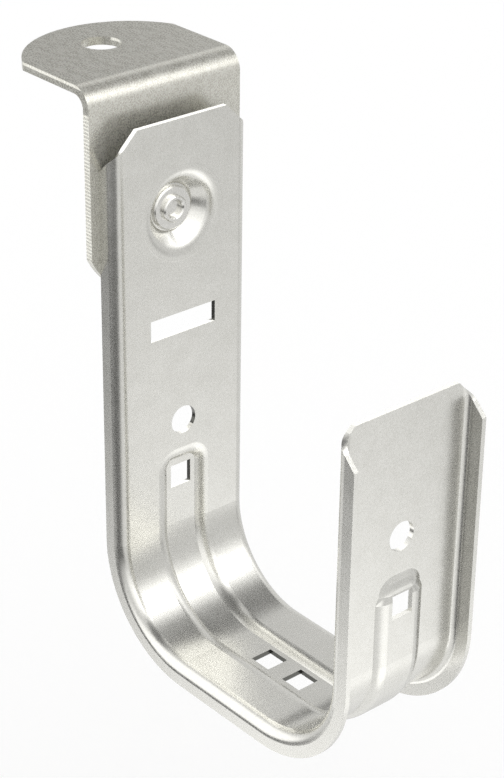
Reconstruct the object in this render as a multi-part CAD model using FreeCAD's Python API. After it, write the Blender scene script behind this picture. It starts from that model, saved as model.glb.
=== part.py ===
import FreeCAD, Part
import math
import os

# J hook cable support: a stamped sheet hook riveted under an angle bracket.
# Millimetres. +Z is up, +X runs from the bracket towards the open lip of the
# hook, and +Y runs across the strip. The origin is the centre of the bracket's
# mounting hole, on the top face of the plate that goes against the ceiling.

# Sheet strip of the hook
sheet = 0.85
hook_width = 26.8
edge_bend_inside = 1.1
flange_depth = 4.0
cable_gap = 50.8
bed_bend_inside = 15.2
strap_height = 88.0
lip_height = 59.2
strap_top_width = 17.8
lip_top_width = 21.0

# Stamped bead along the middle of the strip: its floor and mouth lie on the
# cable side, and the ridge at its back is wider, with a round top edge
bead_floor_width = 6.0
bead_mouth_width = 8.05
bead_depth = 0.86
bead_corner_radius = 2.5
bead_shoulder_radius = 3.6
bead_back_width = 9.8
bead_ridge_overhang = 1.0
bead_ridge_radius = 3.1
bead_past_square = 1.2
run_out_floor_width = 3.7
run_out_back_width = 8.7
run_out_depth = 0.7
run_out_length = 1.2
run_out_past_square = 0.3
pressed_border = 0.3

# Dimple that carries the rivet
dimple_level = 72.1
dimple_mouth_diameter = 13.2
dimple_shoulder_radius = 3.0

# Holes of the hook, with levels above the cable bed
slot_width = 13.25
slot_height = 3.65
slot_level = 53.1
round_hole_diameter = 5.0
strap_hole_level = 35.1
lip_hole_level = 36.9
square_side = 4.15
strap_square_level = 24.4
lip_square_level = 25.2
bed_square_offset = 0.85
bed_square_pitch = 7.6

# Angle bracket
plate = 1.4
bracket_width = 30.0
bracket_bend_inside = 2.1
bracket_reach = 9.6
bracket_drop = 37.5
hole_setback = 16.5
mounting_hole_diameter = 6.5
end_arc_radius = 16.8
hook_below_top = 6.6

# Rivet
shank_diameter = 4.8
shank_clearance = 0.05
head_diameter = 9.2
head_height = 1.5
head_rim = 0.5
head_top_diameter = 6.0
clinch_diameter = 7.4
clinch_thickness = 0.7
clinch_edge = 0.25
clinch_room = 0.3
ring_outer_diameter = 4.5
ring_inner_diameter = 2.9
ring_height = 1.45
ring_edge = 0.2
hollow_depth = 0.9

# Length by which a cutting tool passes the faces that it cuts
overshoot = 1.0

# Sizes that follow from those above
edge_bend_outside = edge_bend_inside + sheet
web_half = hook_width / 2 - edge_bend_outside
bed_length = cable_gap - 2 * bed_bend_inside
bracket_bend_outside = bracket_bend_inside + plate
strap_face_x = hole_setback + flange_depth
bed_z = -hook_below_top - strap_height
end_arc_sagitta = end_arc_radius - math.sqrt(end_arc_radius ** 2 - (bracket_width / 2) ** 2)
dimple_depth = flange_depth - sheet
rivet_z = bed_z + dimple_level

UP = FreeCAD.Vector(0, 0, 1)
ACROSS = FreeCAD.Vector(0, 1, 0)
ALONG = FreeCAD.Vector(1, 0, 0)


def vec(x, y, z):
    """Point or direction in the part's axes."""
    return FreeCAD.Vector(x, y, z)


def rounded_edges(corners, radii):
    """Lines and tangent arcs along an open run of corners.

    The radii belong to the corners between the first and the last one, and a
    radius of 0 leaves a corner sharp.
    """
    edges = []
    start = corners[0]
    for before, corner, after, radius in zip(corners, corners[1:], corners[2:], radii):
        if radius == 0:
            edges.append(Part.LineSegment(start, corner).toShape())
            start = corner
            continue
        back = (before - corner).normalize()
        ahead = (after - corner).normalize()
        half_angle = back.getAngle(ahead) / 2
        reach = radius / math.tan(half_angle)
        middle = (back + ahead).normalize()
        arc_start = corner + back * reach
        arc_end = corner + ahead * reach
        arc_middle = corner + middle * (radius / math.sin(half_angle) - radius)
        edges.append(Part.LineSegment(start, arc_start).toShape())
        edges.append(Part.Arc(arc_start, arc_middle, arc_end).toShape())
        start = arc_end
    edges.append(Part.LineSegment(start, corners[-1]).toShape())
    return edges


def parallel_corners(corners, distance):
    """Corners of the run that lies a distance to the left of the given one."""
    directions = [(b - a).normalize() for a, b in zip(corners, corners[1:])]
    normals = [vec(-d.y, d.x, 0) for d in directions]
    moved = [corners[0] + normals[0] * distance]
    for corner, first, second in zip(corners[1:-1], normals, normals[1:]):
        bisector = (first + second).normalize()
        moved.append(corner + bisector * (distance / bisector.dot(first)))
    moved.append(corners[-1] + normals[-1] * distance)
    return moved


def two_sided_face(near_corners, far_corners, near_radii, far_radii, to_space):
    """Section of sheet from the flat corners of its two sides, as a face.

    Each side has its own radii, and to_space places a flat point in the part.
    """
    near = [to_space(c.x, c.y) for c in near_corners]
    far = [to_space(c.x, c.y) for c in far_corners]
    edges = rounded_edges(near, near_radii)
    edges += rounded_edges(far, far_radii)
    edges.append(Part.LineSegment(near[0], far[0]).toShape())
    edges.append(Part.LineSegment(near[-1], far[-1]).toShape())
    return Part.Face(Part.Wire(Part.__sortEdges__(edges)))


def sheet_face(corners, near_radii, far_radii, to_space):
    """Section of bent sheet that lies to the left of the run of its near corners."""
    far_corners = parallel_corners(corners, sheet)
    return two_sided_face(corners, far_corners, near_radii, far_radii, to_space)


def joined(shapes):
    """One solid out of shapes that meet."""
    return shapes[0].fuse(shapes[1:]).removeSplitter()


def polygon_prism(points, direction):
    """Solid made by pushing a flat polygon along a direction."""
    return Part.Face(Part.makePolygon(points + [points[0]])).extrude(direction)


# The hook is built with the inner face of its strap at x = 0 and the cable
# bed at z = 0. A flat point (across, out) lies that far across the strip and
# that far out of the cable space.
def strap_section_point(across, out):
    """Flat point of a section through the foot of the strap."""
    return vec(-out, across, bed_bend_inside)


def moved_to_lip(shape):
    """Copy of a shape of the strap, turned round to the same place on the lip."""
    turned = shape.copy()
    turned.rotate(vec(cable_gap / 2, 0, 0), UP, 180)
    return turned


def swept_round_bed(face, strap_end):
    """Section swept from a level of the strap, round the bed, to the foot of the lip."""
    first_axis = vec(bed_bend_inside, 0, bed_bend_inside)
    second_axis = vec(cable_gap - bed_bend_inside, 0, bed_bend_inside)
    strap = face.extrude(UP * (strap_end - bed_bend_inside))
    first_bend = face.revolve(first_axis, ACROSS, -90)
    bed_face = face.copy()
    bed_face.rotate(first_axis, ACROSS, -90)
    bed = bed_face.extrude(ALONG * bed_length)
    bed_face.translate(ALONG * bed_length)
    second_bend = bed_face.revolve(second_axis, ACROSS, -90)
    return [strap, first_bend, bed, second_bend]


def swept_up_lip(face, lip_end):
    """Section at the foot of the strap, moved to the lip and swept up to a level."""
    return moved_to_lip(face.extrude(UP * (lip_end - bed_bend_inside)))


def channel():
    """Plain strip with both edges rolled away from the cable space."""
    half = hook_width / 2
    corners = [vec(-half, flange_depth, 0), vec(-half, 0, 0), vec(half, 0, 0), vec(half, flange_depth, 0)]
    outside_radii = [edge_bend_outside, edge_bend_outside]
    inside_radii = [edge_bend_inside, edge_bend_inside]
    face = sheet_face(corners, outside_radii, inside_radii, strap_section_point)
    return joined(swept_round_bed(face, strap_height) + [swept_up_lip(face, lip_height)])


def corner_cutters(top, top_width):
    """Tools that cut both top corners of the strap at 45 degrees.

    The blank is cut before its edges are rolled, so the cut runs on round the
    bend and down the flange as far as the flat strip is long there.
    """
    top_half = top_width / 2
    bend_level = top - (web_half - top_half)
    rolled_length = (edge_bend_inside + sheet / 2) * math.pi / 2
    flange_level = bend_level - rolled_length
    above = top + overshoot
    outside = hook_width / 2 + overshoot
    past_edge = flange_depth + overshoot
    through = flange_depth + 2 * overshoot

    web_points = [
        vec(overshoot, top_half - overshoot, above),
        vec(overshoot, web_half, bend_level),
        vec(overshoot, web_half, above),
    ]
    web_tool = polygon_prism(web_points, ALONG * -through)

    # Round the bend the cut stays square to the sheet, as a winding surface
    bend_turn = 4 * rolled_length
    inner_edge = Part.makeHelix(bend_turn, rolled_length, edge_bend_inside / 2)
    outer_edge = Part.makeHelix(bend_turn, rolled_length, edge_bend_outside + overshoot)
    winding = Part.makeRuledSurface(inner_edge, outer_edge).mirror(vec(0, 0, 0), UP)
    bend_tool = winding.extrude(UP * (above - flange_level))
    bend_tool.translate(vec(-edge_bend_outside, web_half, bend_level))

    flange_points = [
        vec(-edge_bend_outside, web_half, flange_level),
        vec(-past_edge, web_half, flange_level - (past_edge - edge_bend_outside)),
        vec(-past_edge, web_half, above),
        vec(-edge_bend_outside, web_half, above),
    ]
    flange_tool = polygon_prism(flange_points, ACROSS * (outside - web_half))

    one_side = [web_tool, bend_tool, flange_tool]
    other_side = [tool.mirror(vec(0, 0, 0), ACROSS) for tool in one_side]
    return one_side + other_side


def turn_reach(depth, run, radius):
    """Length that a rounding takes from its flat side where sheet goes off at a slope."""
    return radius * math.tan(math.atan2(depth, run) / 2)


bead_slope_run = (bead_mouth_width - bead_floor_width) / 2
bead_edge_half = (
    bead_mouth_width / 2
    + turn_reach(bead_depth, bead_slope_run, bead_shoulder_radius)
    + pressed_border
)
bead_corner_offset = bead_mouth_width / 2 - bead_corner_radius
bead_floor_corner = bead_floor_width / 2 - bead_corner_offset
bead_edge_corner = bead_edge_half - bead_corner_offset


def bead_end_window(level):
    """Opening that takes a bead's end at the strap, through the plain sheet."""
    depth = sheet + 2 * overshoot
    middle = Part.makeBox(
        depth, 2 * bead_corner_offset, bead_edge_corner, vec(-sheet - overshoot, -bead_corner_offset, level)
    )
    corners = []
    for side in (-1, 1):
        centre = vec(-sheet - overshoot, side * bead_corner_offset, level)
        corners.append(Part.makeCylinder(bead_edge_corner, depth, centre, ALONG))
    return [middle] + corners


def bead_end(level, floor_width, back_width, depth):
    """Closed end of a bead at the strap: a straight wall between two rounded corners."""
    corners = [
        vec(0, depth, 0),
        vec(floor_width / 2 - bead_corner_offset, depth, 0),
        vec(bead_corner_radius, 0, 0),
        vec(bead_edge_corner, 0, 0),
    ]
    back_corners = [
        vec(0, depth + sheet, 0),
        vec(floor_width / 2 + bead_ridge_overhang - bead_corner_offset, depth + sheet, 0),
        vec(back_width / 2 - bead_corner_offset, sheet, 0),
        vec(bead_edge_corner, sheet, 0),
    ]
    cable_side_radii = [0, bead_shoulder_radius]
    back_radii = [bead_ridge_radius, 0]
    pieces = []
    for side in (-1, 1):
        def end_point(up, out, side=side):
            return vec(-out, side * bead_corner_offset, level + up)
        face = two_sided_face(corners, back_corners, cable_side_radii, back_radii, end_point)
        axis = vec(0, side * bead_corner_offset, level)
        pieces.append(face.revolve(axis, ALONG, -90 * side))
        if side == -1:
            pieces.append(face.extrude(ACROSS * (2 * bead_corner_offset)))
    return pieces


def bead_section(floor_width, back_width, depth, level):
    """Section across a bead at a level of the strap, as a face."""
    corners = [
        vec(-bead_edge_half, 0, 0),
        vec(-bead_mouth_width / 2, 0, 0),
        vec(-floor_width / 2, depth, 0),
        vec(floor_width / 2, depth, 0),
        vec(bead_mouth_width / 2, 0, 0),
        vec(bead_edge_half, 0, 0),
    ]
    ridge_half = floor_width / 2 + bead_ridge_overhang
    back_corners = [
        vec(-bead_edge_half, sheet, 0),
        vec(-back_width / 2, sheet, 0),
        vec(-ridge_half, depth + sheet, 0),
        vec(ridge_half, depth + sheet, 0),
        vec(back_width / 2, sheet, 0),
        vec(bead_edge_half, sheet, 0),
    ]
    cable_side_radii = [bead_shoulder_radius, 0, 0, bead_shoulder_radius]
    back_radii = [0, bead_ridge_radius, bead_ridge_radius, 0]

    def section_point(across, out):
        return vec(-out, across, level)

    return two_sided_face(corners, back_corners, cable_side_radii, back_radii, section_point)


def bead():
    """Window to cut along the strip, and the pressed sheet that fills it.

    The end at the strap is steep. At the lip the bead runs out on a gentle
    slope, and its floor first gets narrower and shallower. Both end levels are
    those of the centres of the end's rounded corners.
    """
    strap_end = strap_square_level + square_side / 2 + bead_past_square - bead_floor_corner
    lip_end = lip_square_level + square_side / 2 + run_out_past_square
    run_out_start = lip_end - run_out_length
    window_points = [
        strap_section_point(-bead_edge_half, -overshoot),
        strap_section_point(-bead_edge_half, sheet + overshoot),
        strap_section_point(bead_edge_half, sheet + overshoot),
        strap_section_point(bead_edge_half, -overshoot),
    ]
    window_face = Part.Face(Part.makePolygon(window_points + [window_points[0]]))
    window = swept_round_bed(window_face, strap_end) + [swept_up_lip(window_face, lip_end)]
    window += bead_end_window(strap_end)
    window += [moved_to_lip(piece) for piece in bead_end_window(lip_end)]

    foot_section = bead_section(bead_floor_width, bead_back_width, bead_depth, bed_bend_inside)
    full_section = bead_section(bead_floor_width, bead_back_width, bead_depth, run_out_start)
    last_section = bead_section(run_out_floor_width, run_out_back_width, run_out_depth, lip_end)
    run_out = Part.makeLoft([full_section.OuterWire, last_section.OuterWire], True, True)
    pressed = swept_round_bed(foot_section, strap_end) + [swept_up_lip(foot_section, run_out_start)]
    pressed += bead_end(strap_end, bead_floor_width, bead_back_width, bead_depth)
    at_lip = [run_out] + bead_end(lip_end, run_out_floor_width, run_out_back_width, run_out_depth)
    pressed += [moved_to_lip(piece) for piece in at_lip]
    return window, pressed


def dimple():
    """Window to cut in the strap, and the pressed cone that fills it.

    The back of its floor lies in one plane with the free edges of the
    flanges, so both bear on the bracket.
    """
    mouth = dimple_mouth_diameter / 2
    floor = clinch_diameter / 2 + clinch_room
    edge = mouth + turn_reach(dimple_depth, mouth - floor, dimple_shoulder_radius) + pressed_border
    corners = [
        vec(0, dimple_depth, 0),
        vec(floor, dimple_depth, 0),
        vec(mouth, 0, 0),
        vec(edge, 0, 0),
    ]

    def dimple_point(up, out):
        return vec(-out, 0, dimple_level + up)

    cable_side_radii = [0, dimple_shoulder_radius]
    face = sheet_face(corners, cable_side_radii, [0, 0], dimple_point)
    cone = face.revolve(vec(0, 0, dimple_level), ALONG, 360)
    foot = vec(-sheet - overshoot, 0, dimple_level)
    window = Part.makeCylinder(edge, sheet + 2 * overshoot, foot, ALONG)
    return window, cone


def hole_tools():
    """Tools for every opening in the strip."""
    pin_length = flange_depth + 2 * overshoot
    behind_strap = -flange_depth - overshoot
    tools = []
    slot_corner = vec(behind_strap, -slot_width / 2, slot_level - slot_height / 2)
    tools.append(Part.makeBox(pin_length, slot_width, slot_height, slot_corner))
    rivet_radius = shank_diameter / 2 + shank_clearance
    tools.append(Part.makeCylinder(rivet_radius, pin_length, vec(behind_strap, 0, dimple_level), ALONG))

    def round_pin(level):
        return Part.makeCylinder(round_hole_diameter / 2, pin_length, vec(behind_strap, 0, level), ALONG)

    def square_pin(level):
        corner = vec(behind_strap, -square_side / 2, level - square_side / 2)
        return Part.makeBox(pin_length, square_side, square_side, corner)

    tools.append(round_pin(strap_hole_level))
    tools.append(square_pin(strap_square_level))
    tools.append(moved_to_lip(round_pin(lip_hole_level)))
    tools.append(moved_to_lip(square_pin(lip_square_level)))
    for side in (-1, 1):
        middle = cable_gap / 2 + bed_square_offset + side * bed_square_pitch / 2
        corner = vec(middle - square_side / 2, -square_side / 2, behind_strap)
        tools.append(Part.makeBox(square_side, square_side, pin_length, corner))
    return tools


def make_hook():
    """The stamped strip: strap, cable bed and lip in one piece of sheet."""
    bead_window, bead_pressed = bead()
    dimple_window, dimple_cone = dimple()
    corner_tools = corner_cutters(strap_height, strap_top_width)
    corner_tools += [moved_to_lip(tool) for tool in corner_cutters(lip_height, lip_top_width)]
    strip = channel().cut(bead_window + [dimple_window] + corner_tools)
    hook = strip.fuse(bead_pressed + [dimple_cone])
    hook = hook.cut(hole_tools()).removeSplitter()
    hook.translate(vec(strap_face_x, 0, bed_z))
    return hook


def make_bracket():
    """Angle bracket: one plate bent at a right angle, both ends cut to the same arc."""
    half_width = bracket_width / 2
    rear = -bracket_reach
    front = hole_setback
    bottom = -bracket_drop
    outer = [vec(rear, -half_width, 0), vec(front, -half_width, 0), vec(front, -half_width, bottom)]
    inner = [
        vec(rear, -half_width, -plate),
        vec(front - plate, -half_width, -plate),
        vec(front - plate, -half_width, bottom),
    ]
    edges = rounded_edges(outer, [bracket_bend_outside])
    edges += rounded_edges(inner, [bracket_bend_inside])
    edges.append(Part.LineSegment(outer[0], inner[0]).toShape())
    edges.append(Part.LineSegment(outer[-1], inner[-1]).toShape())
    side_view = Part.Face(Part.Wire(Part.__sortEdges__(edges)))
    bent_plate = side_view.extrude(ACROSS * bracket_width)

    # What the arc leaves at each end is a box minus the round of the arc
    deep = plate + 2 * overshoot
    wide = bracket_width + 2 * overshoot
    long = end_arc_sagitta + overshoot
    rear_block = Part.makeBox(long, wide, deep, vec(rear - overshoot, -wide / 2, -plate - overshoot))
    rear_round = Part.makeCylinder(
        end_arc_radius, deep, vec(rear + end_arc_radius, 0, -plate - overshoot), UP
    )
    low_block = Part.makeBox(
        deep, wide, long, vec(front - plate - overshoot, -wide / 2, bottom - overshoot)
    )
    low_round = Part.makeCylinder(
        end_arc_radius, deep, vec(front - plate - overshoot, 0, bottom + end_arc_radius), ALONG
    )
    ends = [rear_block.cut(rear_round), low_block.cut(low_round)]
    mounting_hole = Part.makeCylinder(
        mounting_hole_diameter / 2, deep, vec(0, 0, -plate - overshoot), UP
    )
    rivet_hole = Part.makeCylinder(
        shank_diameter / 2 + shank_clearance, deep, vec(front - plate - overshoot, 0, rivet_z), ALONG
    )
    return bent_plate.cut(ends + [mounting_hole, rivet_hole])


def make_rivet():
    """Rivet turned about its own axis: head behind the bracket, clinched end in the dimple."""
    back = hole_setback - plate
    head_face = back - head_height
    seat = hole_setback + sheet
    clinch_face = seat + clinch_thickness
    ring_face = seat + ring_height
    shank_radius = shank_diameter / 2
    head_radius = head_diameter / 2
    clinch_radius = clinch_diameter / 2
    ring_outer_radius = ring_outer_diameter / 2
    ring_inner_radius = ring_inner_diameter / 2

    # Half section from the middle of the head to the hollow, as (x, radius)
    profile = [
        (head_face, 0),
        (head_face, head_top_diameter / 2),
        (back - head_rim, head_radius),
        (back, head_radius),
        (back, shank_radius),
        (seat, shank_radius),
        (seat, clinch_radius),
        (clinch_face - clinch_edge, clinch_radius),
        (clinch_face, clinch_radius - clinch_edge),
        (clinch_face, ring_outer_radius),
        (ring_face - ring_edge, ring_outer_radius),
        (ring_face, ring_outer_radius - ring_edge),
        (ring_face, ring_inner_radius + ring_edge),
        (ring_face - ring_edge, ring_inner_radius),
        (ring_face - hollow_depth, ring_inner_radius),
        (ring_face - hollow_depth, 0),
    ]
    points = [vec(x, 0, rivet_z + radius) for x, radius in profile]
    half_section = Part.Face(Part.makePolygon(points + [points[0]]))
    return half_section.revolve(vec(0, 0, rivet_z), ALONG, 360)


def write(name, shape):
    """Write one piece as a closed solid."""
    solid = shape.Solids[0]
    if len(shape.Solids) != 1 or not solid.isValid():
        raise ValueError(name + " is not one valid solid")
    solid.exportStep("parts/" + name + ".step")
    print(name, "volume", round(solid.Volume, 1), "mm3, faces", len(solid.Faces))


os.makedirs("parts", exist_ok=True)
write("hook", make_hook())
write("angle_bracket", make_bracket())
write("rivet", make_rivet())
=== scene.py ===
"""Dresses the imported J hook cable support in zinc-plated steel and lights it as in its photograph."""

import logging
import math
from dataclasses import dataclass
from enum import Enum, IntEnum

import bpy
from mathutils import Matrix, Vector


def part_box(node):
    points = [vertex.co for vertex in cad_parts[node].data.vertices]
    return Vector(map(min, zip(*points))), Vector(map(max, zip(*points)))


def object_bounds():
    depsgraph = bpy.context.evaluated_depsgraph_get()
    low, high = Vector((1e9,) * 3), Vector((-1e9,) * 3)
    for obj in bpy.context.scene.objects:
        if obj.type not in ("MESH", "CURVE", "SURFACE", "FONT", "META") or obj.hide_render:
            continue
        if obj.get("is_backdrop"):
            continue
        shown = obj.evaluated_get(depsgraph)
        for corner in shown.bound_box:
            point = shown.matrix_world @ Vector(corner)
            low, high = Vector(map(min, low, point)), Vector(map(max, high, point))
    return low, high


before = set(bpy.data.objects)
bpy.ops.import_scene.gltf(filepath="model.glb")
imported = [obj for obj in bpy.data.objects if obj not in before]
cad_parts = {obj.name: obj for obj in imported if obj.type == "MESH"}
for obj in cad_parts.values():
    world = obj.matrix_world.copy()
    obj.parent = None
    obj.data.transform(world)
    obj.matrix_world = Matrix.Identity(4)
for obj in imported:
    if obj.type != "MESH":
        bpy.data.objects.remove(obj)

Tree = bpy.types.NodeTree
Socket = bpy.types.NodeSocket
Stretch = tuple[float, float, float]

LOG = logging.getLogger("j_hook")
METRES_PER_MM = 0.001
WHITE = "ffffff"

# Stretch of a pattern that is drawn out along no axis
EVEN: Stretch = (1.0, 1.0, 1.0)

# The wave texture turns 20 radians along one unit, so at this scale it draws one band to the unit
WAVE_BAND = math.tau / 20

# Share of the normal along an axis, below which a face stands edge-on to it
EDGE_ON = 0.3

# Share of the normal along an axis, above which a face looks along it
SQUARE_ON = 0.9


class Slot(Enum):
    """The record's material slots."""

    HOOK = "hook_sheet"
    BRACKET = "bracket_plate"
    RIVET = "rivet_steel"


class Side(Enum):
    """Way in which a value is tested against a limit, named as Blender's math operations."""

    ABOVE = "GREATER_THAN"
    BELOW = "LESS_THAN"


class Mix(IntEnum):
    """Numbers of a mix node's inputs, because their names repeat."""

    SHARE = 0
    VALUE_A = 2
    VALUE_B = 3
    COLOUR_A = 6
    COLOUR_B = 7


# Number of a mix node's output of colour, whose name repeats too
MIXED_COLOUR = 2


def mm(value: float) -> float:
    """Millimetres as the scene's metres."""
    return value * METRES_PER_MM


def per_mm(value: float) -> float:
    """Scale of a pattern whose features are a number of millimetres apart."""
    return 1 / mm(value)


def direction(azimuth: float, elevation: float) -> Vector:
    """Turns two angles to a direction.

    Args:
        azimuth: Degrees from +X towards +Y.
        elevation: Degrees above the horizon.

    Returns:
        A vector of length 1.
    """
    around = math.radians(azimuth)
    up = math.radians(elevation)
    return Vector((math.cos(around) * math.cos(up), math.sin(around) * math.cos(up), math.sin(up)))


def linear_colour(hex_code: str) -> tuple[float, float, float, float]:
    """Turns an sRGB hex colour to linear light, by the sRGB standard's own curve.

    Args:
        hex_code: Six hex digits, such as "c8c8c3".

    Returns:
        Red, green and blue in linear light, and an alpha of 1.
    """
    channels = [int(hex_code[i:i + 2], 16) / 255 for i in (0, 2, 4)]
    linear = [c / 12.92 if c <= 0.04045 else ((c + 0.055) / 1.055) ** 2.4 for c in channels]
    return (linear[0], linear[1], linear[2], 1.0)


def cleared_tree(owner: bpy.types.Material | bpy.types.World) -> Tree:
    """Empties the node tree of a material or world.

    Args:
        owner: The material or world.

    Returns:
        Its node tree.
    """
    owner.use_nodes = True
    owner.node_tree.nodes.clear()
    return owner.node_tree


def add_node(
    tree: Tree,
    kind: str,
    settings: dict[str, object] | None = None,
    inputs: dict[str | int, object] | None = None,
) -> bpy.types.Node:
    """Adds a node, sets its properties, and sets or links its inputs.

    Args:
        tree: Node tree that gets the node.
        kind: Blender's name for the node's type.
        settings: Values of the node's own properties.
        inputs: A value to set or an output to link, for each input's name, or number if names repeat.

    Returns:
        The new node.
    """
    node = tree.nodes.new(kind)
    for name, value in (settings or {}).items():
        setattr(node, name, value)
    for key, value in (inputs or {}).items():
        socket = node.inputs[key]
        if isinstance(value, Socket):
            tree.links.new(value, socket)
        else:
            socket.default_value = value
    return node


def where_all(tree: Tree, tests: list[tuple[Socket, Side, float]]) -> Socket:
    """Adds the nodes that mark where several tests hold at once.

    Args:
        tree: Node tree that gets the nodes.
        tests: For each test, a value, the side of the limit it lies on, and the limit.

    Returns:
        A value of 1 where all the tests hold, and 0 elsewhere.
    """
    marks = [
        add_node(tree, "ShaderNodeMath", {"operation": side.value}, {0: value, 1: limit}).outputs["Value"]
        for value, side, limit in tests
    ]
    held = marks[0]
    for mark in marks[1:]:
        held = add_node(
            tree, "ShaderNodeMath", {"operation": "MULTIPLY"}, {0: held, 1: mark},
        ).outputs["Value"]
    return held


@dataclass(frozen=True)
class Surroundings:
    """Sockets that a finish reads: the place on the piece, and which way the surface faces.

    Each side says how far the surface faces along an axis, either way. Up says
    how far it faces up, and across how far it lies from the middle of the part.
    """

    place: Socket
    x: Socket
    y: Socket
    z: Socket
    side_x: Socket
    side_y: Socket
    side_z: Socket
    up: Socket
    across: Socket

    @classmethod
    def of(cls, tree: Tree) -> "Surroundings":
        """Adds the nodes that give the sockets.

        Args:
            tree: The material's node tree.

        Returns:
            The sockets.
        """
        coordinates = add_node(tree, "ShaderNodeTexCoord").outputs
        place = add_node(tree, "ShaderNodeSeparateXYZ", None, {"Vector": coordinates["Object"]}).outputs
        facing = add_node(tree, "ShaderNodeSeparateXYZ", None, {"Vector": coordinates["Normal"]}).outputs
        sizes = add_node(
            tree, "ShaderNodeVectorMath", {"operation": "ABSOLUTE"}, {0: coordinates["Normal"]},
        ).outputs["Vector"]
        side = add_node(tree, "ShaderNodeSeparateXYZ", None, {"Vector": sizes}).outputs
        across = add_node(
            tree, "ShaderNodeMath", {"operation": "ABSOLUTE"}, {0: place["Y"]},
        ).outputs["Value"]
        return cls(
            place=coordinates["Object"], x=place["X"], y=place["Y"], z=place["Z"],
            side_x=side["X"], side_y=side["Y"], side_z=side["Z"], up=facing["Z"], across=across,
        )


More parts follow.
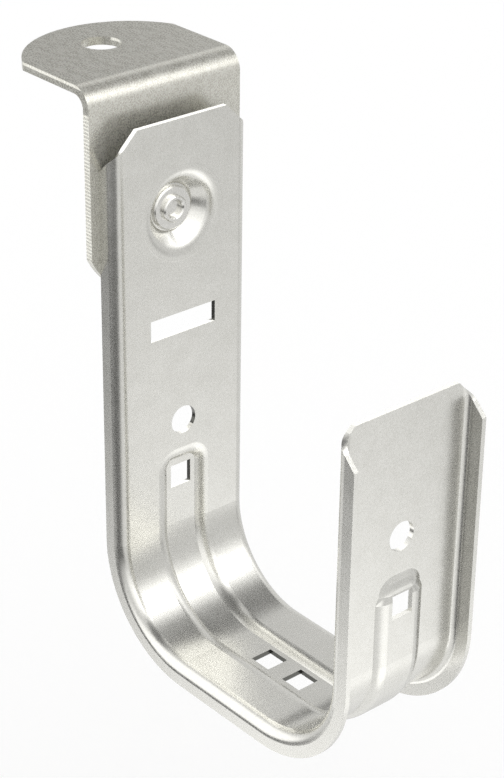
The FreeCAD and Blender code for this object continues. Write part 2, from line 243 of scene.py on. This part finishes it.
@dataclass(frozen=True)
class ZincPlatedSteel:
    """Cold-rolled steel with a thin satin zinc plating.

    The plating's crystals give the eye a fine grain in tone and gloss, and
    handling leaves a slow mottle of a few millimetres.
    """

    name: str
    colour: str
    dull_colour: str
    roughness: float
    metallic: float = 0.9

    # The real crystals are finer than a pixel, so the grain is drawn as coarse as it needs to show
    grain_mm: float = 0.28
    grain_detail: float = 3.0
    mottle_mm: float = 4.0
    mottle_detail: float = 2.0
    mottle_stretch: Stretch = EVEN

    # Strength of each finer layer against the one before it, and part of the mottle in the tone
    layer_share: float = 0.6
    mottle_share: float = 0.25

    # Tones at which the crystals are dullest and brightest in colour, and smoothest and roughest
    dull_tone: float = 0.38
    bright_tone: float = 0.62
    smooth_tone: float = 0.3
    rough_tone: float = 0.7

    # How far the roughness strays either way, and the height of the relief
    gloss_spread: float = 0.05
    bump_mm: float = 0.001

    def flecks(
        self, tree: Tree, place: Socket, size_mm: float, detail: float, stretch: Stretch = EVEN
    ) -> Socket:
        """Adds a pattern of flecks of a real size.

        Args:
            tree: The material's node tree.
            place: Coordinates that the pattern reads.
            size_mm: Size of the flecks, across the way in which they are drawn out.
            detail: How many finer layers they have.
            stretch: Scale along X, Y and Z, below 1 where the flecks are long.

        Returns:
            A value about 0.5.
        """
        drawn = add_node(
            tree, "ShaderNodeMapping", None, {"Vector": place, "Scale": stretch},
        ).outputs["Vector"]
        return add_node(
            tree, "ShaderNodeTexNoise", None,
            {"Vector": drawn, "Scale": per_mm(size_mm), "Detail": detail, "Roughness": self.layer_share},
        ).outputs["Fac"]

    def tone(self, tree: Tree, around: Surroundings) -> Socket:
        """Adds the pattern that both colour and gloss follow.

        Args:
            tree: The material's node tree.
            around: Sockets for place and facing.

        Returns:
            A value about 0.5.
        """
        grain = self.flecks(tree, around.place, self.grain_mm, self.grain_detail)
        mottle = self.flecks(tree, around.place, self.mottle_mm, self.mottle_detail, self.mottle_stretch)
        return add_node(
            tree, "ShaderNodeMix", {"data_type": "FLOAT"},
            {Mix.SHARE: self.mottle_share, Mix.VALUE_A: grain, Mix.VALUE_B: mottle},
        ).outputs["Result"]

    def paint(self, tree: Tree, around: Surroundings, tone: Socket) -> Socket:
        """Adds the colour, between that of dull and of bright crystals.

        Args:
            tree: The material's node tree.
            around: Sockets for place and facing.
            tone: The finish's pattern.

        Returns:
            The colour.
        """
        brightness = add_node(
            tree, "ShaderNodeMapRange", None,
            {"Value": tone, "From Min": self.dull_tone, "From Max": self.bright_tone},
        ).outputs["Result"]
        dull = linear_colour(self.dull_colour)
        bright = linear_colour(self.colour)
        return add_node(
            tree, "ShaderNodeMix", {"data_type": "RGBA"},
            {Mix.SHARE: brightness, Mix.COLOUR_A: dull, Mix.COLOUR_B: bright},
        ).outputs[MIXED_COLOUR]

    def height(self, tree: Tree, around: Surroundings, tone: Socket) -> Socket:
        """Adds the relief of the grain.

        Args:
            tree: The material's node tree.
            around: Sockets for place and facing.
            tone: The finish's pattern.

        Returns:
            Height of the relief in millimetres.
        """
        return add_node(
            tree, "ShaderNodeMath", {"operation": "MULTIPLY"}, {0: tone, 1: self.bump_mm},
        ).outputs["Value"]

    def leant(self, tree: Tree, height: Socket, where: Socket, along: Socket, slope: float) -> Socket:
        """Tilts the relief on an edge, which then mirrors the studio as a rolled-over edge does.

        Args:
            tree: The material's node tree.
            height: Height of the relief in millimetres.
            where: A value of 1 on the edge and 0 elsewhere.
            along: Coordinate along which the relief falls.
            slope: How much it falls for each millimetre, in millimetres.

        Returns:
            Height of the tilted relief in millimetres.
        """
        fall = add_node(
            tree, "ShaderNodeMath", {"operation": "MULTIPLY"}, {0: where, 1: -slope / METRES_PER_MM},
        ).outputs["Value"]
        return add_node(
            tree, "ShaderNodeMath", {"operation": "MULTIPLY_ADD"}, {0: fall, 1: along, 2: height},
        ).outputs["Value"]

    def relief(self, tree: Tree, around: Surroundings, tone: Socket) -> Socket:
        """Adds the finish's relief, in which a height of 1 is a millimetre.

        Args:
            tree: The material's node tree.
            around: Sockets for place and facing.
            tone: The finish's pattern.

        Returns:
            The surface's normal.
        """
        return add_node(
            tree, "ShaderNodeBump", None,
            {"Strength": 1.0, "Distance": mm(1.0), "Height": self.height(tree, around, tone)},
        ).outputs["Normal"]

    def build(self) -> bpy.types.Material:
        """Makes the material.

        Returns:
            The node-based material.
        """
        material = bpy.data.materials.new(self.name)
        tree = cleared_tree(material)
        around = Surroundings.of(tree)
        tone = self.tone(tree, around)
        gloss = add_node(
            tree, "ShaderNodeMapRange", None,
            {
                "Value": tone, "From Min": self.smooth_tone, "From Max": self.rough_tone,
                "To Min": self.roughness - self.gloss_spread,
                "To Max": self.roughness + self.gloss_spread,
            },
        ).outputs["Result"]
        surface = add_node(
            tree, "ShaderNodeBsdfPrincipled", None,
            {
                "Base Color": self.paint(tree, around, tone), "Metallic": self.metallic,
                "Roughness": gloss, "Normal": self.relief(tree, around, tone),
            },
        ).outputs["BSDF"]
        add_node(tree, "ShaderNodeOutputMaterial", None, {"Surface": surface})
        return material


@dataclass(frozen=True)
class StampedZincStrip(ZincPlatedSteel):
    """Satin zinc strip that a press has punched, beaded and rolled.

    The rolled edges carry faint forming lines. The walls of the punched holes
    are dark, partly as dull torn steel and partly as painted shade, but for those
    that face up. The punch rolls over the cut edges that face up, which makes
    them bright, and the press leaves the shoulder of the dimple soft.
    """

    # Forming lines, drawn coarser than the real ones so that they show
    line_mm: float = 0.4
    line_detail: float = 2.0
    line_stretch: Stretch = (1.0, 1.0, 0.04)
    line_share: float = 0.08

    # How far the surface faces to the side where the lines begin, and where they are at full strength
    roll_start: float = 0.2
    roll_end: float = 0.6

    # Dark colour of the holes' walls, partly torn steel and partly painted shade, which a wall that faces up
    # further than this doesn't get
    torn_and_shaded_wall_colour: str = "5c5c58"
    lit_wall_facing_up: float = 0.6

    # Fall of the rolled-over cut edges, which are those that face up further than this
    cut_lean: float = 1.5
    cut_facing_up: float = 0.5

    # Depth of the flanges under the bed, and reach of the bends above it
    flange_mm: float = 4.0
    bend_mm: float = 16.0

    # Reach of the strap along X, and of the holes in strap and bed from the middle of the part
    strap_reach_mm: float = 30.0
    hole_reach_mm: float = 7.0
    bed_hole_reach_mm: float = 2.2

    # Shoulder of the dimple, from the rivet's axis
    shoulder_inside_mm: float = 3.6
    shoulder_outside_mm: float = 8.2
    shoulder_depth_mm: float = 1.0

    def bed_level(self) -> float:
        """Level of the cable bed, which lies a flange above the lowest edge of the hook."""
        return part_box("hook")[0].z + mm(self.flange_mm)

    def upright_level(self) -> float:
        """Level from which strap and lip stand upright, above their bends."""
        return self.bed_level() + mm(self.bend_mm)

    def tone(self, tree: Tree, around: Surroundings) -> Socket:
        """Adds forming lines to the pattern, on the rolled edges.

        Args:
            tree: The material's node tree.
            around: Sockets for place and facing.

        Returns:
            A value about 0.5.
        """
        plain = super().tone(tree, around)
        lines = self.flecks(tree, around.place, self.line_mm, self.line_detail, self.line_stretch)
        share = add_node(
            tree, "ShaderNodeMapRange", None,
            {
                "Value": around.side_y, "From Min": self.roll_start, "From Max": self.roll_end,
                "To Max": self.line_share,
            },
        ).outputs["Result"]
        return add_node(
            tree, "ShaderNodeMix", {"data_type": "FLOAT"},
            {Mix.SHARE: share, Mix.VALUE_A: plain, Mix.VALUE_B: lines},
        ).outputs["Result"]

    def torn_and_shaded_walls(self, tree: Tree, around: Surroundings) -> Socket:
        """Marks the walls of the holes in strap and bed, but for those that face up.
        These get the dark colour that is partly torn steel and partly painted shade.

        Args:
            tree: The material's node tree.
            around: Sockets for place and facing.

        Returns:
            A value of 1 on those walls.
        """
        # Walls that face up catch light, so only the others get the painted shade
        in_strap = where_all(tree, [
            (around.side_x, Side.BELOW, EDGE_ON),
            (around.across, Side.BELOW, mm(self.hole_reach_mm)),
            (around.x, Side.BELOW, mm(self.strap_reach_mm)),
            (around.z, Side.ABOVE, self.upright_level()),
            (around.up, Side.BELOW, self.lit_wall_facing_up),
        ])
        in_bed = where_all(tree, [
            (around.side_z, Side.BELOW, EDGE_ON),
            (around.across, Side.BELOW, mm(self.bed_hole_reach_mm)),
            (around.z, Side.BELOW, self.bed_level()),
        ])
        return add_node(
            tree, "ShaderNodeMath", {"operation": "MAXIMUM"}, {0: in_strap, 1: in_bed},
        ).outputs["Value"]

    def shoulder(self, tree: Tree, around: Surroundings) -> Socket:
        """Adds the soft shoulder of the dimple, whose middle is the rivet's axis.

        Args:
            tree: The material's node tree.
            around: Sockets for place and facing.

        Returns:
            Height of the shoulder in millimetres.
        """
        low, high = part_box("rivet")
        level = add_node(
            tree, "ShaderNodeMath", {"operation": "SUBTRACT"}, {0: around.z, 1: (low.z + high.z) / 2},
        ).outputs["Value"]
        from_axis = add_node(
            tree, "ShaderNodeCombineXYZ", None, {"X": around.y, "Y": level},
        ).outputs["Vector"]
        radius = add_node(
            tree, "ShaderNodeVectorMath", {"operation": "LENGTH"}, {0: from_axis},
        ).outputs["Value"]
        return add_node(
            tree, "ShaderNodeMapRange", {"interpolation_type": "SMOOTHSTEP"},
            {
                "Value": radius, "From Min": mm(self.shoulder_inside_mm),
                "From Max": mm(self.shoulder_outside_mm), "To Min": self.shoulder_depth_mm, "To Max": 0.0,
            },
        ).outputs["Result"]

    def paint(self, tree: Tree, around: Surroundings, tone: Socket) -> Socket:
        """Adds the strip's colour, and the dark colour of the holes' walls, partly torn steel and partly
        painted shade.

        Args:
            tree: The material's node tree.
            around: Sockets for place and facing.
            tone: The finish's pattern.

        Returns:
            The colour.
        """
        # The holes' walls get a dark colour that is partly torn steel and partly painted shade
        return add_node(
            tree, "ShaderNodeMix", {"data_type": "RGBA"},
            {
                Mix.SHARE: self.torn_and_shaded_walls(tree, around),
                Mix.COLOUR_A: super().paint(tree, around, tone),
                Mix.COLOUR_B: linear_colour(self.torn_and_shaded_wall_colour),
            },
        ).outputs[MIXED_COLOUR]

    def height(self, tree: Tree, around: Surroundings, tone: Socket) -> Socket:
        """Adds the relief of the grain, the lean of the cut edges and the soft shoulder of the dimple.

        Args:
            tree: The material's node tree.
            around: Sockets for place and facing.
            tone: The finish's pattern.

        Returns:
            Height of the relief in millimetres.
        """
        cut = where_all(tree, [
            (around.side_x, Side.BELOW, EDGE_ON),
            (around.z, Side.ABOVE, self.upright_level()),
            (around.up, Side.ABOVE, self.cut_facing_up),
        ])
        grain = super().height(tree, around, tone)
        leant = self.leant(tree, grain, cut, around.x, self.cut_lean)
        return add_node(
            tree, "ShaderNodeMath", {"operation": "ADD"}, {0: self.shoulder(tree, around), 1: leant},
        ).outputs["Value"]


@dataclass(frozen=True)
class ShearedZincPlate(ZincPlatedSteel):
    """Thicker zinc-plated plate, duller and more mottled.

    The shear leaves ticks across the plate's upright sides and a bright rim
    along their upper edge.
    """

    # Ticks: their spacing, depth, the unevenness of their spacing, and the level under which they are
    tick_mm: float = 0.6
    tick_depth_mm: float = 0.12
    tick_wander: float = 0.5
    tick_top_mm: float = -4.0

    # Width and fall of the rim along the plate's upper face, which lies at the frame's zero
    rim_mm: float = 0.5
    rim_lean: float = 0.8

    def height(self, tree: Tree, around: Surroundings, tone: Socket) -> Socket:
        """Adds the relief of the grain, and the ticks and rim of the sheared sides.

        Args:
            tree: The material's node tree.
            around: Sockets for place and facing.
            tone: The finish's pattern.

        Returns:
            Height of the relief in millimetres.
        """
        bands = add_node(
            tree, "ShaderNodeTexWave", {"bands_direction": "Z"},
            {
                "Vector": around.place, "Scale": per_mm(self.tick_mm) * WAVE_BAND,
                "Distortion": self.tick_wander,
            },
        ).outputs["Fac"]
        sheared = where_all(tree, [
            (around.side_y, Side.ABOVE, SQUARE_ON), (around.z, Side.BELOW, mm(self.tick_top_mm)),
        ])
        depth = add_node(
            tree, "ShaderNodeMath", {"operation": "MULTIPLY"}, {0: sheared, 1: self.tick_depth_mm},
        ).outputs["Value"]
        grain = super().height(tree, around, tone)
        ticked = add_node(
            tree, "ShaderNodeMath", {"operation": "MULTIPLY_ADD"}, {0: bands, 1: depth, 2: grain},
        ).outputs["Value"]
        rim = where_all(tree, [
            (around.side_y, Side.ABOVE, SQUARE_ON), (around.z, Side.ABOVE, -mm(self.rim_mm)),
        ])
        return self.leant(tree, ticked, rim, around.z, self.rim_lean)


@dataclass
class Piece:
    """One rigid piece of the part, kept from the solid model and dressed."""

    node: str
    slot: Slot
    finish: ZincPlatedSteel

    def dress(self) -> None:
        """Gives the piece its finish."""
        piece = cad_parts[self.node]
        piece.data.materials.clear()
        piece.data.materials.append(self.finish.build())
        LOG.info("%s dressed in %s", self.node, self.finish.name)


@dataclass
class StampedHook(Piece):
    """The hook, stamped from satin strip."""

    node: str = "hook"
    slot: Slot = Slot.HOOK
    finish: ZincPlatedSteel = StampedZincStrip(
        name="satin_zinc_strip", colour="e5e4df", dull_colour="d7d6d0", roughness=0.27, gloss_spread=0.03,
    )


@dataclass
class AngleBracket(Piece):
    """The bracket, cut and folded from thicker plate."""

    node: str = "angle_bracket"
    slot: Slot = Slot.BRACKET
    finish: ZincPlatedSteel = ShearedZincPlate(
        name="mottled_zinc_plate", colour="e2e1d9", dull_colour="cac8be", roughness=0.28, metallic=0.65,
        grain_mm=0.3, mottle_mm=1.2, mottle_stretch=(0.5, 1.0, 1.0), mottle_share=0.3, bump_mm=0.0006,
    )


@dataclass
class TubularRivet(Piece):
    """The rivet, smoother wire steel that the clinching tool has polished."""

    node: str = "rivet"
    slot: Slot = Slot.RIVET
    finish: ZincPlatedSteel = ZincPlatedSteel(
        name="bright_zinc_rivet", colour="e9e8e4", dull_colour="d9d8d3", roughness=0.24,
        grain_mm=0.2, mottle_mm=1.5,
    )


@dataclass
class PhotographCamera:
    """The photograph's viewpoint, as found from the object's own edges.

    Azimuth and elevation say where the camera stands, seen from its target.
    """

    name: str = "photograph_camera"
    target_mm: tuple[float, float, float] = (40.5, -2.48, -44.91)
    azimuth: float = -40.99
    elevation: float = 27.66
    roll: float = 0.75
    distance_mm: float = 339.9
    lens_mm: float = 156.1
    sensor_mm: float = 36.0
    nearest_mm: float = 10.0

    def build(self) -> None:
        """Adds the camera and makes it the scene's own."""
        forward = -direction(self.azimuth, self.elevation)
        roll = math.radians(self.roll)
        level_right = forward.cross(Vector((0, 0, 1))).normalized()
        level_up = level_right.cross(forward)
        right = math.cos(roll) * level_right + math.sin(roll) * level_up
        up = math.cos(roll) * level_up - math.sin(roll) * level_right
        place = (Vector(self.target_mm) - forward * self.distance_mm) * METRES_PER_MM
        turn = Matrix((right, up, -forward)).transposed().to_4x4()
        data = bpy.data.cameras.new(self.name)
        data.sensor_fit = "HORIZONTAL"
        data.sensor_width = self.sensor_mm
        data.lens = self.lens_mm
        data.clip_start = mm(self.nearest_mm)
        camera = bpy.data.objects.new(self.name, data)
        camera.matrix_world = Matrix.Translation(place) @ turn
        bpy.context.scene.collection.objects.link(camera)
        bpy.context.scene.camera = camera
        LOG.info("camera %.0f mm from the object", self.distance_mm)


@dataclass(frozen=True)
class SoftArea:
    """A soft-edged area of the studio's walls: a soft box where it is bright, a grey card where dark.

    Azimuth runs from +X towards +Y. Width and height are the angles, in degrees,
    from its middle to where it has half its effect, tone is how bright it looks,
    and softness is the share of its size over which it fades, either way.
    """

    name: str
    azimuth: float
    elevation: float
    width: float
    height: float
    tone: float
    softness: float

    def mask(self, tree: Tree, ray: Socket) -> Socket:
        """Adds the nodes that tell how far a ray meets the area.

        Args:
            tree: The world's node tree.
            ray: Direction of the ray.

        Returns:
            A value from 0 outside the area to 1 at its middle.
        """
        turn = Vector((0.0, -math.radians(self.elevation), math.radians(self.azimuth)))
        reach = (1.0, math.sin(math.radians(self.width)), math.sin(math.radians(self.height)))
        local = add_node(
            tree, "ShaderNodeMapping", {"vector_type": "TEXTURE"},
            {
                "Vector": ray, "Location": direction(self.azimuth, self.elevation),
                "Rotation": turn, "Scale": reach,
            },
        ).outputs["Vector"]
        away = add_node(
            tree, "ShaderNodeVectorMath", {"operation": "LENGTH"}, {0: local},
        ).outputs["Value"]
        return add_node(
            tree, "ShaderNodeMapRange", {"interpolation_type": "SMOOTHSTEP"},
            {
                "Value": away, "From Min": 1 - self.softness, "From Max": 1 + self.softness,
                "To Min": 1.0, "To Max": 0.0,
            },
        ).outputs["Result"]


@dataclass
class Studio:
    """White floor in a white studio, whose soft boxes and grey cards only gloss sees.

    The areas lie where the object's faces and bends in the photograph mirror
    bright and dark. A fit to its tones found their numbers. The rear card, the
    table on the right, the low box on the left and the tone of the gap were then
    set one by one. Each covers those before it, as a card in front of a box does.
    """

    floor_drop_mm: float = 60.0
    floor_size_mm: float = 4000.0
    floor_colour: str = "f4f4f4"
    walls: float = 0.81
    areas: tuple[SoftArea, ...] = (
        SoftArea("ground", azimuth=-29, elevation=-76, width=51, height=47, tone=1.02, softness=0.15),
        SoftArea("ceiling", azimuth=-22, elevation=75, width=54, height=20, tone=0.11, softness=0.20),
        SoftArea("box_left", azimuth=-128, elevation=17, width=37, height=43, tone=1.60, softness=0.18),
        SoftArea("front", azimuth=-31, elevation=20, width=26, height=26, tone=1.33, softness=0.26),
        SoftArea("box_right", azimuth=25, elevation=41, width=31, height=16, tone=3.39, softness=0.94),
        SoftArea("card_high_right", azimuth=110, elevation=55, width=63, height=7, tone=0.0, softness=0.19),
        SoftArea("card_rear", azimuth=148, elevation=20, width=12, height=7, tone=0.04, softness=0.30),
        SoftArea("card_low_left", azimuth=-93, elevation=-30, width=84, height=12, tone=0.0, softness=0.20),
        SoftArea("horizon_right", azimuth=31, elevation=-1, width=68, height=11, tone=0.72, softness=0.43),
        SoftArea("gap_right", azimuth=50, elevation=-17, width=10, height=7, tone=0.50, softness=0.26),
        SoftArea("table_right", azimuth=22, elevation=-43, width=23, height=13, tone=1.72, softness=0.30),
        SoftArea("box_left_low", azimuth=-138, elevation=-47, width=26, height=12, tone=1.70, softness=0.20),
    )

    def build_world(self) -> None:
        """Makes surroundings that are white, except that gloss sees the studio's walls and areas."""
        world = bpy.data.worlds.new("studio_world")
        bpy.context.scene.world = world
        tree = cleared_tree(world)
        ray = add_node(tree, "ShaderNodeTexCoord").outputs["Generated"]
        tone: Socket | float = self.walls
        for area in self.areas:
            tone = add_node(
                tree, "ShaderNodeMix", {"data_type": "FLOAT", "name": area.name},
                {Mix.SHARE: area.mask(tree, ray), Mix.VALUE_A: tone, Mix.VALUE_B: area.tone},
            ).outputs["Result"]
        glossy = add_node(tree, "ShaderNodeLightPath").outputs["Is Glossy Ray"]
        strength = add_node(
            tree, "ShaderNodeMix", {"data_type": "FLOAT"},
            {Mix.SHARE: glossy, Mix.VALUE_A: 1.0, Mix.VALUE_B: tone},
        ).outputs["Result"]
        light = add_node(
            tree, "ShaderNodeBackground", None, {"Color": linear_colour(WHITE), "Strength": strength},
        ).outputs["Background"]
        add_node(tree, "ShaderNodeOutputWorld", None, {"Surface": light})

    def build_floor(self, lowest: Vector) -> None:
        """Adds the floor below the object, pure white to the camera.

        Args:
            lowest: Lowest corner of the object, in metres.
        """
        bpy.ops.mesh.primitive_plane_add(
            size=mm(self.floor_size_mm), location=(0, 0, lowest.z - mm(self.floor_drop_mm))
        )
        floor = bpy.context.object
        floor.name = "floor"
        floor.visible_glossy = False
        material = bpy.data.materials.new("matt_white_floor")
        tree = cleared_tree(material)
        seen = add_node(tree, "ShaderNodeLightPath").outputs["Is Camera Ray"]
        colour = add_node(
            tree, "ShaderNodeMix", {"data_type": "RGBA"},
            {
                Mix.SHARE: seen, Mix.COLOUR_A: linear_colour(self.floor_colour),
                Mix.COLOUR_B: linear_colour(WHITE),
            },
        ).outputs[MIXED_COLOUR]
        paint = add_node(tree, "ShaderNodeBsdfDiffuse", None, {"Color": colour}).outputs["BSDF"]
        add_node(tree, "ShaderNodeOutputMaterial", None, {"Surface": paint})
        floor.data.materials.append(material)
        floor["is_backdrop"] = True

    def build(self, lowest: Vector) -> None:
        """Builds the studio round the object.

        Args:
            lowest: Lowest corner of the object, in metres.
        """
        bpy.context.scene.view_settings.view_transform = "Standard"
        self.build_world()
        self.build_floor(lowest)
        LOG.info("studio with %d soft areas", len(self.areas))


def main() -> None:
    """Dresses the pieces in order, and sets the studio."""
    logging.basicConfig(level=logging.INFO, format="%(name)s: %(message)s")
    bpy.ops.object.select_all(action="DESELECT")
    cad_low, cad_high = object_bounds()
    for piece in (StampedHook(), AngleBracket(), TubularRivet()):
        piece.dress()
    Studio().build(cad_low)
    PhotographCamera().build()


if __name__ == "__main__":
    main()
